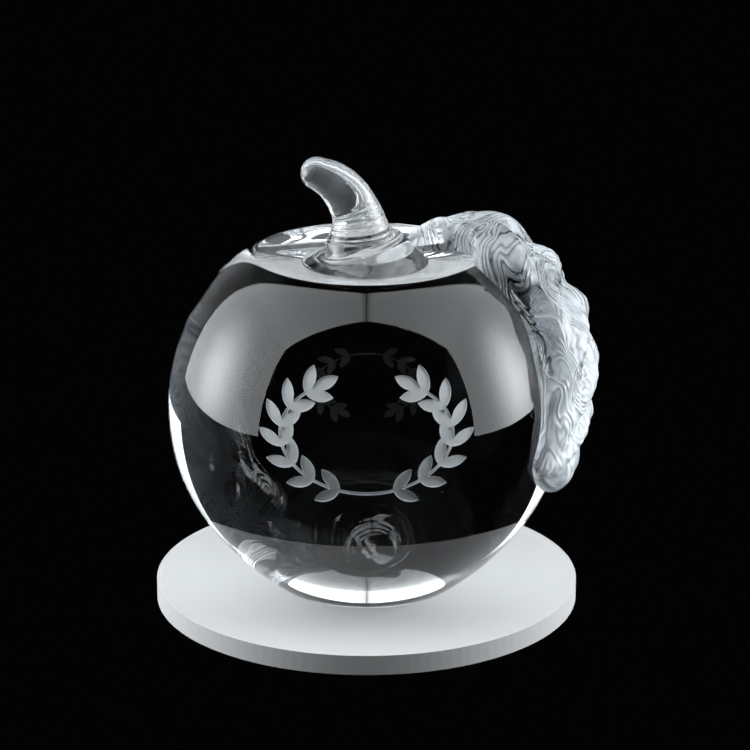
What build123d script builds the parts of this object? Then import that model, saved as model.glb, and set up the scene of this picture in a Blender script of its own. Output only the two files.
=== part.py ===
from build123d import *
import math
import os

# Solid clear glass apple paperweight, in millimetres. It is drawn about the apple's axis, on
# the plane that it stands on, and is then moved so that the origin lies under the middle of
# the whole object. +Z is up and -Y is the front, where the frosted wreath is.

# Driving sizes of the apple, which is one solid gather of glass.
APPLE_RADIUS = 40.0
WAIST_HEIGHT = 36.0
CREST_RADIUS = 22.3
CREST_HEIGHT = 68.4
HOLLOW_HEIGHT = 64.2
FOOT_RADIUS = 19.0
FOOT_INNER_RADIUS = 14.5
PUNT_DEPTH = 3.2

# How far the handles of the outline's curves reach, which sets how full the apple looks.
HOLLOW_FLOOR_REACH = 8.0
HOLLOW_RIM_REACH = 7.3
CREST_REACH = 5.0
UPPER_WAIST_REACH = 18.9
LOWER_WAIST_REACH = 17.9
FOOT_REACH_OUT = 8.5
FOOT_REACH_UP = 6.2

# The stem, as stations of its centre line's X and Z and its radius. It spreads like a
# trumpet into the hollow, and its tip is drawn over to the left.
STEM_STATIONS = [
    (-0.4, 65.8, 13.8),
    (-0.4, 66.8, 12.4),
    (-0.5, 68.5, 10.0),
    (-0.8, 69.9, 8.35),
    (-1.1, 71.0, 7.25),
    (-1.3, 72.7, 6.25),
    (-1.6, 75.0, 5.4),
    (-2.5, 77.8, 4.8),
    (-4.3, 80.8, 4.4),
    (-6.8, 83.2, 3.9),
    (-9.7, 84.7, 3.3),
]
STEM_ROOT_RADIUS = 11.6
STEM_ROOT_BOTTOM = 60.0
STEM_SECTIONS = 26
STEM_TIP_RINGS = 5

# The leaf's blade, as stations along the apple's outline: distance from the crest, azimuth
# of the midrib in degrees from the front towards +X, half width, and height over the apple.
BLADE_STATIONS = [
    (-3.0, 108.0, 4.6, 6.4),
    (-0.8, 100.5, 8.4, 6.9),
    (1.2, 95.0, 11.6, 7.1),
    (3.6, 91.8, 12.9, 7.3),
    (12.9, 90.0, 14.0, 8.1),
    (22.0, 88.5, 17.3, 8.6),
    (30.9, 87.0, 18.6, 7.4),
    (38.7, 83.5, 18.4, 5.4),
    (44.2, 80.5, 18.0, 4.7),
    (53.9, 77.5, 17.0, 4.2),
]
BLADE_TIP_ROUND = 11.0
BLADE_LAST_SHARE = 0.994
BLADE_SECTIONS = 44
BLADE_TOP_POINTS = 33
BLADE_UNDER_POINTS = 9
BLADE_SINK = 0.8
EDGE_SQUARENESS = 2.8
REAR_LIFT = 0.10

# The relief pressed into the blade: a midrib, and veins that slant from it to the edges.
VEIN_STARTS = [-15.3, -4.2, 4.2, 13.4, 22.9, 33.3, 41.2, 56.7]
VEIN_SLANT = 0.62
VEIN_DEPTH = 2.0
LOBE_REST = 0.7
SCALLOP = 0.07
MIDRIB_DEPTH = 1.7
MIDRIB_HALF_WIDTH = 2.0
MIDRIB_CLEAR = 0.25
RELIEF_RISE = 5.0
RELIEF_FALL = 8.0

# The leaf's stalk, which runs from beside the stem over the crest: distance, azimuth,
# radius and how high its centre lies over the apple.
STALK_STATIONS = [
    (-14.0, 150.0, 0.8, 0.2),
    (-10.5, 141.0, 1.6, 1.0),
    (-7.6, 125.0, 2.6, 2.4),
    (-3.5, 108.0, 3.5, 2.9),
    (-0.2, 98.0, 3.9, 2.1),
    (3.1, 93.0, 3.0, 1.5),
]
STALK_SECTIONS = 12

# The frosted wreath on the front: two sprigs of pointed leaves, cut shallow into the skin.
WREATH_CENTRE_HEIGHT = 43.0
WREATH_HALF_WIDTH = 16.5
WREATH_HALF_HEIGHT = 11.0
WREATH_DEPTH = 0.4
WREATH_REACH_BACK = 22.0
TWIG_HALF_WIDTH = 0.28
TWIG_BEGINS = -14.0
TWIG_ENDS = 146.0
TWIG_POINTS = 12
SPRIG_PAIRS = 7
FIRST_PAIR = 18.0
PAIR_STEP = 19.5
SPRIG_LEAF_LENGTH = 5.4
SPRIG_LEAF_HALF_WIDTH = 1.15
SPRIG_LEAF_TURN = 38.0
END_LEAF_TURN_BACK = 4.0
BAND_BEGINS = 3.0
BAND_ENDS = 59.7
BAND_POINTS = 16

FULL_TURN = 2.0 * math.pi

HOLLOW_CURVE = [
    (0.0, HOLLOW_HEIGHT),
    (HOLLOW_FLOOR_REACH, HOLLOW_HEIGHT),
    (CREST_RADIUS - HOLLOW_RIM_REACH, CREST_HEIGHT),
    (CREST_RADIUS, CREST_HEIGHT),
]
SHOULDER_CURVE = [
    (CREST_RADIUS, CREST_HEIGHT),
    (CREST_RADIUS + CREST_REACH, CREST_HEIGHT),
    (APPLE_RADIUS, WAIST_HEIGHT + UPPER_WAIST_REACH),
    (APPLE_RADIUS, WAIST_HEIGHT),
]
BELLY_CURVE = [
    (APPLE_RADIUS, WAIST_HEIGHT),
    (APPLE_RADIUS, WAIST_HEIGHT - LOWER_WAIST_REACH),
    (FOOT_RADIUS + FOOT_REACH_OUT, FOOT_REACH_UP),
    (FOOT_RADIUS, 0.0),
]


def bezier_point(curve, t):
    """The point at t of a cubic Bezier curve given by its four control points."""
    weights = ((1 - t) ** 3, 3 * (1 - t) ** 2 * t, 3 * (1 - t) * t**2, t**3)
    radius = sum(w * p[0] for w, p in zip(weights, curve))
    height = sum(w * p[1] for w, p in zip(weights, curve))
    return radius, height


def measured_outline(steps):
    """Points of the apple's outline with their distance along it, which is 0 at the crest."""
    hollow = [bezier_point(HOLLOW_CURVE, i / steps) for i in range(steps + 1)]
    shoulder = [bezier_point(SHOULDER_CURVE, i / steps) for i in range(1, steps + 1)]
    belly = [bezier_point(BELLY_CURVE, i / steps) for i in range(1, steps + 1)]
    points = hollow + shoulder + belly
    distances = [0.0]
    for before, after in zip(points, points[1:]):
        distances.append(distances[-1] + math.dist(before, after))
    crest = distances[steps]
    return [d - crest for d in distances], points


OUTLINE_STEPS = 240
CREST_INDEX = OUTLINE_STEPS
OUTLINE_DISTANCES, OUTLINE_POINTS = measured_outline(OUTLINE_STEPS)


def outline_at(distance):
    """Radius, height and outward direction of the apple's outline at a distance from the crest."""
    i = 1
    while i < len(OUTLINE_DISTANCES) - 1 and OUTLINE_DISTANCES[i] < distance:
        i += 1
    span = OUTLINE_DISTANCES[i] - OUTLINE_DISTANCES[i - 1]
    share = (distance - OUTLINE_DISTANCES[i - 1]) / span
    before = OUTLINE_POINTS[i - 1]
    after = OUTLINE_POINTS[i]
    radius = before[0] + share * (after[0] - before[0])
    height = before[1] + share * (after[1] - before[1])
    first = OUTLINE_POINTS[max(i - 3, 0)]
    last = OUTLINE_POINTS[min(i + 2, len(OUTLINE_POINTS) - 1)]
    length = math.dist(first, last)
    return radius, height, (first[1] - last[1]) / length, (last[0] - first[0]) / length


def point_over_apple(distance, azimuth, lift):
    """A point that stands lift over the apple's skin."""
    radius, height, out_radial, out_up = outline_at(distance)
    radius += lift * out_radial
    height += lift * out_up
    return (radius * math.sin(azimuth), -radius * math.cos(azimuth), height)


def eased(stations, x):
    """Values at x of smooth curves through the stations that never overshoot them."""
    x = min(max(x, stations[0][0]), stations[-1][0])
    i = 0
    while i < len(stations) - 2 and stations[i + 1][0] <= x:
        i += 1
    span = stations[i + 1][0] - stations[i][0]
    t = (x - stations[i][0]) / span
    values = []
    for column in range(1, len(stations[0])):
        slopes = []
        for before, after in zip(stations, stations[1:]):
            slopes.append((after[column] - before[column]) / (after[0] - before[0]))
        tangents = [slopes[0]]
        for first, second in zip(slopes, slopes[1:]):
            same_way = first * second > 0
            tangents.append(2 * first * second / (first + second) if same_way else 0.0)
        tangents.append(slopes[-1])
        values.append(
            (2 * t**3 - 3 * t**2 + 1) * stations[i][column]
            + (t**3 - 2 * t**2 + t) * span * tangents[i]
            + (3 * t**2 - 2 * t**3) * stations[i + 1][column]
            + (t**3 - t**2) * span * tangents[i + 1]
        )
    return values


def apple_envelope():
    """The apple before anything is cut into its skin: the outline turned about Z."""
    with BuildPart() as apple:
        with BuildSketch(Plane.XZ):
            with BuildLine():
                Bezier(*HOLLOW_CURVE)
                Bezier(*SHOULDER_CURVE)
                Bezier(*BELLY_CURVE)
                Line((FOOT_RADIUS, 0.0), (FOOT_INNER_RADIUS, 0.0))
                Bezier(
                    (FOOT_INNER_RADIUS, 0.0),
                    (FOOT_INNER_RADIUS * 0.72, PUNT_DEPTH * 0.75),
                    (FOOT_INNER_RADIUS * 0.4, PUNT_DEPTH),
                    (0.0, PUNT_DEPTH),
                )
                Line((0.0, PUNT_DEPTH), (0.0, HOLLOW_HEIGHT))
            make_face()
        revolve(axis=Axis.Z)
    return apple.part.rotate(Axis.Z, 90)


def stem_blank():
    """The stem with its trumpet foot, and a root that fills the hollow under it."""
    travelled = [0.0]
    for before, after in zip(STEM_STATIONS, STEM_STATIONS[1:]):
        travelled.append(travelled[-1] + math.dist(before, after))
    stations = [(d, *station) for d, station in zip(travelled, STEM_STATIONS)]
    step = travelled[-1] / (STEM_SECTIONS - 1)
    rings = []
    for i in range(STEM_SECTIONS):
        x, z, radius = eased(stations, i * step)
        x_next, z_next, _ = eased(stations, i * step + 0.05)
        x_last, z_last, _ = eased(stations, i * step - 0.05)
        forward = Vector(x_next - x_last, 0, z_next - z_last).normalized()
        rings.append((Vector(x, 0, z), forward, radius))
    centre, forward, radius = rings[-1]
    for i in range(1, STEM_TIP_RINGS):
        turn = i / STEM_TIP_RINGS * math.pi / 2
        rings.append((centre + forward * (radius * math.sin(turn)), forward, radius * math.cos(turn)))
    wires = []
    for centre_of_ring, way, ring_radius in rings:
        plane = Plane(origin=centre_of_ring, x_dir=(0, 1, 0), z_dir=way)
        wires.append(Wire.make_circle(ring_radius, plane))
    end = centre + forward * radius
    blank = Solid.make_loft(wires + [Vertex(end.X, end.Y, end.Z)])
    foot_height = STEM_STATIONS[0][1]
    root = Solid.make_cylinder(
        STEM_ROOT_RADIUS,
        foot_height + 0.3 - STEM_ROOT_BOTTOM,
        Plane(origin=(STEM_STATIONS[0][0], 0, STEM_ROOT_BOTTOM)),
    )
    return blank.fuse(root)


def skin_at_height(height):
    """Radius and outward direction of the apple's outer skin at a height."""
    i = CREST_INDEX + 1
    while i < len(OUTLINE_POINTS) - 1 and OUTLINE_POINTS[i][1] > height:
        i += 1
    before = OUTLINE_POINTS[i - 1]
    after = OUTLINE_POINTS[i]
    share = (before[1] - height) / (before[1] - after[1])
    run = math.dist(before, after)
    radius = before[0] + share * (after[0] - before[0])
    return radius, (before[1] - after[1]) / run, (after[0] - before[0]) / run


def top_at_radius(radius):
    """Height and outward direction of the apple's top at a radius, in the hollow and beyond."""
    i = 1
    while OUTLINE_POINTS[i][0] < radius:
        i += 1
    before = OUTLINE_POINTS[i - 1]
    after = OUTLINE_POINTS[i]
    share = (radius - before[0]) / (after[0] - before[0])
    run = math.dist(before, after)
    height = before[1] + share * (after[1] - before[1])
    return height, (before[1] - after[1]) / run, (after[0] - before[0]) / run


def blade_point(distance, aside, lift):
    """A point over the apple in the plane square to the blade at a distance from the crest.

    The plane holds the Y direction, and in the hollow it is upright. From the outline's own
    point the search goes aside in Y and then straight in until it meets the skin, and lift
    is measured from there.
    """
    radius, height, out_radial, out_up = outline_at(distance)
    if distance < 0.0:
        x, out_radial, out_up = radius, 0.0, 1.0
        z, skin_radial, skin_up = top_at_radius(math.hypot(radius, aside))
    else:
        nearer, farther = 0.0, radius
        for _ in range(40):
            sag = (nearer + farther) / 2
            skin = skin_at_height(height - sag * out_up)[0]
            if math.hypot(radius - sag * out_radial, aside) > skin:
                nearer = sag
            else:
                farther = sag
        x = radius - sag * out_radial
        z = height - sag * out_up
        _, skin_radial, skin_up = skin_at_height(z)
    reach = math.hypot(x, aside)
    outward = skin_radial * x / reach * out_radial + skin_up * out_up
    sideways = skin_radial * aside / reach
    size = math.hypot(outward, sideways)
    outward *= lift / size
    return Vector(x + outward * out_radial, aside + sideways * lift / size, z + outward * out_up)


def blade_section(distance):
    """The closed outline across the blade: its relief on top, and a sunk underside."""
    azimuth, half_width, thickness = eased(BLADE_STATIONS, distance)
    last = BLADE_STATIONS[-1][0]
    from_tip = min((last - distance) / BLADE_TIP_ROUND, 1.0)
    closing = math.sqrt(from_tip * (2.0 - from_tip))
    half_width *= closing
    thickness *= math.sqrt(closing)
    rise = min((distance - BLADE_STATIONS[0][0]) / RELIEF_RISE, 1.0)
    relief = rise * min((last - distance) / RELIEF_FALL, 1.0)
    radius = outline_at(distance)[0]

    def aside_at(across, scallop=1.0):
        return -radius * math.cos(math.radians(azimuth) + across * half_width * scallop / radius)

    top = []
    for i in range(BLADE_TOP_POINTS):
        across = math.cos(math.pi * i / (BLADE_TOP_POINTS - 1))
        bow = max(1.0 - abs(across) ** EDGE_SQUARENESS, 0.0) ** (1.0 / EDGE_SQUARENESS)
        along = distance - VEIN_SLANT * abs(across) * half_width * relief
        for start, stop in zip(VEIN_STARTS, VEIN_STARTS[1:]):
            if start <= along < stop:
                lobe = math.sin(math.pi * (along - start) / (stop - start)) ** 2
        clear = min(abs(across) / MIDRIB_CLEAR, 1.0)
        groove = MIDRIB_DEPTH * math.exp(-((across * half_width / MIDRIB_HALF_WIDTH) ** 2))
        crown = thickness * (1 + REAR_LIFT * across * relief)
        crown += relief * (VEIN_DEPTH * clear * (lobe - LOBE_REST) - groove)
        lift = (crown + BLADE_SINK) * bow - BLADE_SINK
        scallop = 1 + SCALLOP * relief * (lobe - LOBE_REST) * bow
        top.append(blade_point(distance, aside_at(across, scallop), lift))
    under = [top[-1]]
    for i in range(1, BLADE_UNDER_POINTS - 1):
        across = 2.0 * i / (BLADE_UNDER_POINTS - 1) - 1.0
        under.append(blade_point(distance, aside_at(across), -BLADE_SINK))
    under.append(top[0])
    return Wire([Edge.make_spline(top), Edge.make_spline(under)])


def leaf_blade():
    """The blade lofted through its sections, which come closer together towards its tip."""
    first = BLADE_STATIONS[0][0]
    length = BLADE_STATIONS[-1][0] - first
    sections = []
    for i in range(BLADE_SECTIONS):
        share = math.sin(math.pi / 2 * i / (BLADE_SECTIONS - 1)) * BLADE_LAST_SHARE
        share = (share + i / (BLADE_SECTIONS - 1) * BLADE_LAST_SHARE) / 2
        sections.append(blade_section(first + share * length))
    return Solid.make_loft(sections)


def leaf_stalk():
    """The stalk lofted through rings along a path over the crest."""
    first = STALK_STATIONS[0][0]
    step = (STALK_STATIONS[-1][0] - first) / (STALK_SECTIONS - 1)

    def centre_at(distance):
        azimuth, _, lift = eased(STALK_STATIONS, distance)
        return Vector(*point_over_apple(distance, math.radians(azimuth), lift))

    rings = []
    for i in range(STALK_SECTIONS):
        distance = first + i * step
        forward = centre_at(distance + 0.1) - centre_at(distance - 0.1)
        if i == 0:
            forward = centre_at(first + 0.2) - centre_at(first)
        if i == STALK_SECTIONS - 1:
            forward = centre_at(distance) - centre_at(distance - 0.2)
        radius = eased(STALK_STATIONS, distance)[1]
        plane = Plane(origin=centre_at(distance), x_dir=forward.cross(Vector(0, 0, 1)), z_dir=forward)
        rings.append(Wire.make_circle(radius, plane))
    return Solid.make_loft(rings)


def sprig_point(side, turn, aside=0.0):
    """A point beside the twig of one sprig, whose turn is measured up from the bottom."""
    turn = math.radians(turn)
    across = WREATH_HALF_WIDTH * math.sin(turn)
    up = -WREATH_HALF_HEIGHT * math.cos(turn)
    way_across = WREATH_HALF_WIDTH * math.cos(turn)
    way_up = WREATH_HALF_HEIGHT * math.sin(turn)
    length = math.hypot(way_across, way_up)
    across += aside * way_up / length
    up -= aside * way_across / length
    return side * across, WREATH_CENTRE_HEIGHT + up


def sprig_heading(side, turn):
    """The direction in which the twig runs at a turn, in radians from across to up."""
    x, z = sprig_point(side, turn)
    x_next, z_next = sprig_point(side, turn + 0.5)
    return math.atan2(z_next - z, x_next - x)


def sprig_leaf(base, heading):
    """A pointed leaf between two arcs, from its base along its heading."""
    tip_x = base[0] + SPRIG_LEAF_LENGTH * math.cos(heading)
    tip_z = base[1] + SPRIG_LEAF_LENGTH * math.sin(heading)
    middle = ((base[0] + tip_x) / 2, (base[1] + tip_z) / 2)
    aside = (-SPRIG_LEAF_HALF_WIDTH * math.sin(heading), SPRIG_LEAF_HALF_WIDTH * math.cos(heading))
    there = ThreePointArc(base, (middle[0] + aside[0], middle[1] + aside[1]), (tip_x, tip_z))
    back = ThreePointArc((tip_x, tip_z), (middle[0] - aside[0], middle[1] - aside[1]), base)
    return make_face([there, back])


def sprig_twig(side):
    """The thin curved twig of one sprig."""
    step = (TWIG_ENDS - TWIG_BEGINS) / (TWIG_POINTS - 1)
    turns = [TWIG_BEGINS + i * step for i in range(TWIG_POINTS)]
    outer = [sprig_point(side, turn, TWIG_HALF_WIDTH) for turn in turns]
    inner = [sprig_point(side, turn, -TWIG_HALF_WIDTH) for turn in turns]
    sides = [Spline(*outer), Spline(*inner)]
    ends = [Line(outer[0], inner[0]), Line(outer[-1], inner[-1])]
    return make_face(sides + ends)


def apple_core_band():
    """The apple behind the wreath, which is smaller than the apple by the wreath's depth."""
    step = (BAND_ENDS - BAND_BEGINS) / (BAND_POINTS - 1)
    sunk = []
    for i in range(BAND_POINTS):
        radius, height, out_radial, out_up = outline_at(BAND_BEGINS + i * step)
        sunk.append((radius - WREATH_DEPTH * out_radial, height - WREATH_DEPTH * out_up))
    with BuildPart() as band:
        with BuildSketch(Plane.XZ):
            with BuildLine():
                Spline(*sunk)
                Polyline(sunk[-1], (0.0, sunk[-1][1]), (0.0, sunk[0][1]), sunk[0])
            make_face()
        revolve(axis=Axis.Z)
    return band.part


def wreath_tool():
    """What sandblasting takes away: both sprigs, as deep into the skin as the wreath goes."""
    core = apple_core_band()
    outlines = Sketch()
    for side in (-1, 1):
        outlines += sprig_twig(side)
        for pair in range(SPRIG_PAIRS):
            turn = FIRST_PAIR + pair * PAIR_STEP
            heading = sprig_heading(side, turn)
            for swing in (-SPRIG_LEAF_TURN, SPRIG_LEAF_TURN):
                outlines += sprig_leaf(sprig_point(side, turn), heading + math.radians(swing))
        end = TWIG_ENDS - END_LEAF_TURN_BACK
        outlines += sprig_leaf(sprig_point(side, end), sprig_heading(side, end))
    front = Plane.XZ.offset(APPLE_RADIUS + 1.0)
    depth = Vector(0, WREATH_REACH_BACK, 0)
    prisms = [Solid.extrude(face, depth) for face in (front * outlines).faces()]
    return [prism.cut(core) for prism in prisms]


def write_part(name, shape):
    """Writes one node as a STEP file named after it."""
    export_step(shape, os.path.join("parts", name + ".step"))


os.makedirs("parts", exist_ok=True)

envelope = apple_envelope()
apple_body = envelope.cut(*wreath_tool())
stem = stem_blank().cut(envelope)
leaf = leaf_blade().fuse(leaf_stalk()).cut(envelope).cut(stem)

middle = Compound([apple_body, stem, leaf]).bounding_box().center()
to_origin = Location((-middle.X, -middle.Y, 0.0))
write_part("apple_body", apple_body.moved(to_origin))
write_part("stem", stem.moved(to_origin))
write_part("leaf", leaf.moved(to_origin))
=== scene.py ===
"""Looks of a solid clear glass apple paperweight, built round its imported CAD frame.

The apple, its stem and its leaf are separate closed pieces that meet without a gap. Where
they were fused hot there is no surface left inside the glass, so the faces that two pieces
share carry a finish that light passes straight through. Shapes are worked out in
millimetres about the apple's own axis and are then placed in the frame, which is in metres.
"""

import logging
import math
from dataclasses import dataclass, field
from enum import Enum
from typing import Any, Sequence

import bpy
import numpy as np
from mathutils import Matrix, Vector, geometry


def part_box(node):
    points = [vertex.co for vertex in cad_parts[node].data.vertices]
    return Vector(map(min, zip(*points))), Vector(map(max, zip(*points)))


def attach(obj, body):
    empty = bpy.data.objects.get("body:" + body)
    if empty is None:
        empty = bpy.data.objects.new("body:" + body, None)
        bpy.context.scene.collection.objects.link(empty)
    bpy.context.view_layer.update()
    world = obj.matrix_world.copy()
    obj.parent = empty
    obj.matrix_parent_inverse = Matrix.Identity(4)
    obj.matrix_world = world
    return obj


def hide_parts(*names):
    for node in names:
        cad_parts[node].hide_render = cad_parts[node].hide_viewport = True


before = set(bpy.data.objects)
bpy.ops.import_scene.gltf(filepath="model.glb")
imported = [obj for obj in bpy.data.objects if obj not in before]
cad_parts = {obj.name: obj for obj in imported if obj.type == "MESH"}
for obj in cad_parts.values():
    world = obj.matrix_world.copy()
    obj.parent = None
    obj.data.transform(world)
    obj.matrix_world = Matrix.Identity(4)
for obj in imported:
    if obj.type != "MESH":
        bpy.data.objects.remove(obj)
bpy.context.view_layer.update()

logging.basicConfig(level=logging.INFO, format="%(message)s")
log = logging.getLogger("glass_apple")

MM = 0.001
CREVICE = "crevice"
HALVINGS = 40
BATCHES = 40
TANGENT_STEP = 0.05
WELD_DISTANCE = 1e-6
SMALLEST_AREA = 1e-9
Array = np.ndarray
Colour = tuple[float, float, float, float]
CRYSTAL: Colour = (0.975, 0.985, 0.99, 1.0)
# Painted reflection: the white in place of the light reflected in the bowl round the stem.
PAINTED_LIGHT_WHITE: Colour = (0.86, 0.89, 0.91, 1.0)


def bezier(control: Sequence[tuple[float, float]], t: Array) -> Array:
    """Points of a cubic Bezier curve.

    Formula: the control points weighted by (1-t)^3, 3(1-t)^2 t, 3(1-t) t^2 and t^3.

    Args:
        control: The curve's four control points.
        t: Where along the curve, from 0 to 1.

    Returns:
        One point per value of t, as rows.
    """
    p = np.asarray(control, float)
    t = np.asarray(t, float)[..., None]
    s = 1 - t
    return s**3 * p[0] + 3 * s**2 * t * p[1] + 3 * s * t**2 * p[2] + t**3 * p[3]


def eased(stations: Sequence[Sequence[float]], x: Array) -> Array:
    """Smooth curves through stations that never overshoot them.

    Formula: cubic Hermite pieces whose slope at a station is the harmonic mean of the
    slopes on both sides of it, or 0 where these differ in sign.

    Args:
        stations: Rows of a place followed by the values there.
        x: The places where values are wanted.

    Returns:
        The values at x, with one more axis than x.
    """
    rows = np.asarray(stations, float)
    place, value = rows[:, 0], rows[:, 1:]
    gap = np.diff(place)[:, None]
    slope = np.diff(value, axis=0) / gap
    tangent = np.vstack([slope[:1], np.zeros_like(slope[1:]), slope[-1:]])
    product = slope[:-1] * slope[1:]
    total = np.where(slope[:-1] + slope[1:] == 0, 1.0, slope[:-1] + slope[1:])
    tangent[1:-1] = np.where(product > 0, 2 * product / total, 0.0)
    x = np.clip(x, place[0], place[-1])
    i = np.clip(np.searchsorted(place, x, side="right") - 1, 0, len(place) - 2)
    span = gap[i]
    t = (x - place[i])[..., None] / span
    return (
        (2 * t**3 - 3 * t**2 + 1) * value[i]
        + (t**3 - 2 * t**2 + t) * span * tangent[i]
        + (3 * t**2 - 2 * t**3) * value[i + 1]
        + (t**3 - t**2) * span * tangent[i + 1]
    )


def smooth_step(x: Array) -> Array:
    """3x^2 - 2x^3, with x kept from 0 to 1."""
    x = np.clip(x, 0.0, 1.0)
    return x * x * (3 - 2 * x)


def inside_loop(points: Array, loop: Array) -> Array:
    """Which points lie inside a closed loop, by counting the edges crossed on the way out.

    Args:
        points: Rows of two coordinates.
        loop: The loop's corners in order, as rows of two coordinates.

    Returns:
        A mask with one entry per point.
    """
    found = np.zeros(len(points), bool)
    low, high = loop.min(0), loop.max(0)
    near = np.all((points >= low) & (points <= high), axis=1)
    p = points[near]
    x0, y0 = loop.T
    x1, y1 = np.roll(loop, -1, axis=0).T
    rise = np.where(y1 == y0, 1.0, y1 - y0)
    crosses = (y0 > p[:, 1:]) != (y1 > p[:, 1:])
    at = x0 + (p[:, 1:] - y0) * (x1 - x0) / rise
    found[near] = np.sum(crosses & (p[:, :1] < at), axis=1) % 2 == 1
    return found


def grid_triangles(rows: int, columns: int, wrap: bool) -> Array:
    """Triangles between the neighbours of a grid whose points are numbered row by row.

    Args:
        rows: Number of rows.
        columns: Number of columns.
        wrap: Whether the last column meets the first.

    Returns:
        Rows of three point numbers.
    """
    across = np.arange(columns if wrap else columns - 1)
    down = np.arange(rows - 1)[:, None] * columns
    a = down + across
    b = down + (across + 1) % columns
    quads = np.stack([a, b, b + columns, a + columns], -1).reshape(-1, 4)
    return np.vstack([quads[:, [0, 1, 2]], quads[:, [0, 2, 3]]])


def fan_triangles(pole: int, ring: Array, wrap: bool) -> Array:
    """Triangles between a pole and the points of a ring round it.

    Args:
        pole: The pole's number.
        ring: The numbers of the ring's points, in order.
        wrap: Whether the last point meets the first.

    Returns:
        Rows of three point numbers.
    """
    fan = np.stack([np.full_like(ring, pole), ring, np.roll(ring, -1)], -1)
    return fan if wrap else fan[:-1]


def closed_rings(numbers: Array, columns: int, pole: int) -> Array:
    """Triangles between rings of points, the last of which closes on a pole.

    Args:
        numbers: The numbers of the points, ring after ring.
        columns: How many points a ring has.
        pole: The pole's number.

    Returns:
        Rows of three point numbers.
    """
    rings = numbers[grid_triangles(len(numbers) // columns, columns, True)]
    return np.vstack([rings, fan_triangles(pole, numbers[-columns:], True)])


@dataclass
class Outline:
    """The apple's outline, from the middle of the hollow over the crest to the foot's edge.

    A place on the skin is a distance along the outline from the crest, which is negative
    in the hollow, and an azimuth in radians from the front towards +X.
    """

    radius: float = 40.0
    waist_height: float = 36.0
    crest_radius: float = 22.3
    crest_height: float = 68.4
    hollow_height: float = 64.2
    foot_radius: float = 19.0
    hollow_floor_reach: float = 8.0
    hollow_rim_reach: float = 7.3
    crest_reach: float = 5.0
    upper_waist_reach: float = 18.9
    lower_waist_reach: float = 17.9
    foot_reach_out: float = 8.5
    foot_reach_up: float = 6.2
    samples: int = 600
    distances: Array = field(init=False)
    points: Array = field(init=False)
    ways: Array = field(init=False)

    def __post_init__(self) -> None:
        """Samples the three Bezier curves and measures the distance along them."""
        crest = (self.crest_radius, self.crest_height)
        waist = (self.radius, self.waist_height)
        floor = (self.hollow_floor_reach, self.hollow_height)
        rim = (self.crest_radius - self.hollow_rim_reach, self.crest_height)
        shoulder = (self.crest_radius + self.crest_reach, self.crest_height)
        flank = (self.radius, self.waist_height + self.upper_waist_reach)
        belly = (self.radius, self.waist_height - self.lower_waist_reach)
        foot = (self.foot_radius + self.foot_reach_out, self.foot_reach_up)
        curves = [
            [(0.0, self.hollow_height), floor, rim, crest],
            [crest, shoulder, flank, waist],
            [waist, belly, foot, (self.foot_radius, 0.0)],
        ]
        t = np.linspace(0.0, 1.0, self.samples + 1)
        parts = [bezier(curves[0], t)] + [bezier(c, t[1:]) for c in curves[1:]]
        self.points = np.vstack(parts)
        along = np.concatenate([[0.0], np.cumsum(np.hypot(*np.diff(self.points, axis=0).T))])
        self.distances = along - along[self.samples]
        way = np.gradient(self.points, self.distances, axis=0)
        self.ways = way / np.hypot(*way.T)[:, None]

    def at(self, distance: Array) -> tuple[Array, Array, Array, Array]:
        """Radius, height and outward direction of the outline at distances from the crest.

        Args:
            distance: Distances from the crest along the outline.

        Returns:
            Radius, height, and the radial and upward parts of the outward direction.
        """

        def read(values: Array) -> Array:
            """Values of the outline's samples at the distances."""
            return np.interp(distance, self.distances, values)

        run, rise = read(self.ways[:, 0]), read(self.ways[:, 1])
        size = np.hypot(run, rise)
        return read(self.points[:, 0]), read(self.points[:, 1]), -rise / size, run / size

    def outside_at_height(self, height: Array) -> tuple[Array, Array]:
        """Distance and radius of the outer skin at heights, where the skin only falls."""
        falling = -self.points[self.samples :, 1]
        distance = np.interp(-height, falling, self.distances[self.samples :])
        return distance, np.interp(-height, falling, self.points[self.samples :, 0])

    def hollow_at_radius(self, radius: Array) -> tuple[Array, Array]:
        """Distance and height of the hollow's skin at radii, where it only rises."""
        part = slice(0, self.samples + 1)
        distance = np.interp(radius, self.points[part, 0], self.distances[part])
        return distance, np.interp(radius, self.points[part, 0], self.points[part, 1])

    def place(self, distance: Array, azimuth: Array, lift: Array | float = 0.0) -> Array:
        """Points that stand lift over the skin, as rows of x, y and z."""
        radius, height, out_radial, out_up = self.at(distance)
        radius = radius + lift * out_radial
        return np.stack(
            [radius * np.sin(azimuth), -radius * np.cos(azimuth), height + lift * out_up], -1
        )

    def normal(self, distance: Array, azimuth: Array) -> Array:
        """The skin's outward directions, as rows of x, y and z."""
        _, _, out_radial, out_up = self.at(distance)
        return np.stack(
            [out_radial * np.sin(azimuth), -out_radial * np.cos(azimuth), out_up], -1
        )


class Socket:
    """A node's output, which adds Math nodes when it is used in an expression."""

    def __init__(self, shader: "Shader", link: Any) -> None:
        """Wraps a link of a shader's tree."""
        self.shader = shader
        self.link = link

    def __add__(self, other: Any) -> "Socket":
        """self + other."""
        return self.shader.math("ADD", self, other)

    def __sub__(self, other: Any) -> "Socket":
        """self - other."""
        return self.shader.math("SUBTRACT", self, other)

    def __rsub__(self, other: Any) -> "Socket":
        """other - self."""
        return self.shader.math("SUBTRACT", other, self)

    def __mul__(self, other: Any) -> "Socket":
        """self * other."""
        return self.shader.math("MULTIPLY", self, other)


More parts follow.
